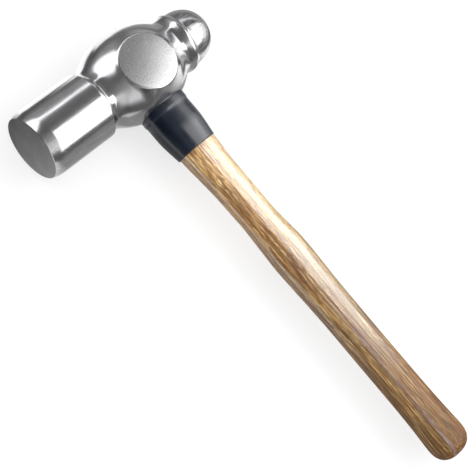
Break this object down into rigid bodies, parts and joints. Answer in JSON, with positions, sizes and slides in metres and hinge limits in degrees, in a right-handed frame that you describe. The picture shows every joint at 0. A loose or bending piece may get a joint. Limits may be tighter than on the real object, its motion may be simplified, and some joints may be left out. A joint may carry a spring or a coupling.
{
  "type": "ball peen hammer",
  "caption": "Ball peen hammer: bevelled round striking face, octagonal necks, round cheek bosses, ball peen, oval wooden handle and moulded guard sleeve.",
  "frame": {"origin": "middle of the bounding box in X and Y, at the height of the lower cheek boss that the hammer lies on", "axes": "+X along the handle from the head to the butt, +Y along the head from the striking face to the ball peen, +Z out of the upper cheek boss"},
  "size_m": [0.3313, 0.1422, 0.048],
  "materials": {
    "head_steel": "satin ground steel, brighter on the poll and the necks, fine blasted grain on the cheek bosses and the striking face",
    "handle_wood": "varnished open-grained hardwood, straight grain along the handle",
    "sleeve_rubber": "satin blue-black moulded rubber",
    "wedge_wood": "bare hardwood, end grain",
    "wedge_steel": "dull mill-finished steel"
  },
  "bodies": {
    "root": {"head": "head_steel", "handle": "handle_wood", "guard_sleeve": "sleeve_rubber", "wooden_wedge": "wedge_wood", "steel_wedge_face_side": "wedge_steel", "steel_wedge_peen_side": "wedge_steel"}
  },
  "joints": []
}
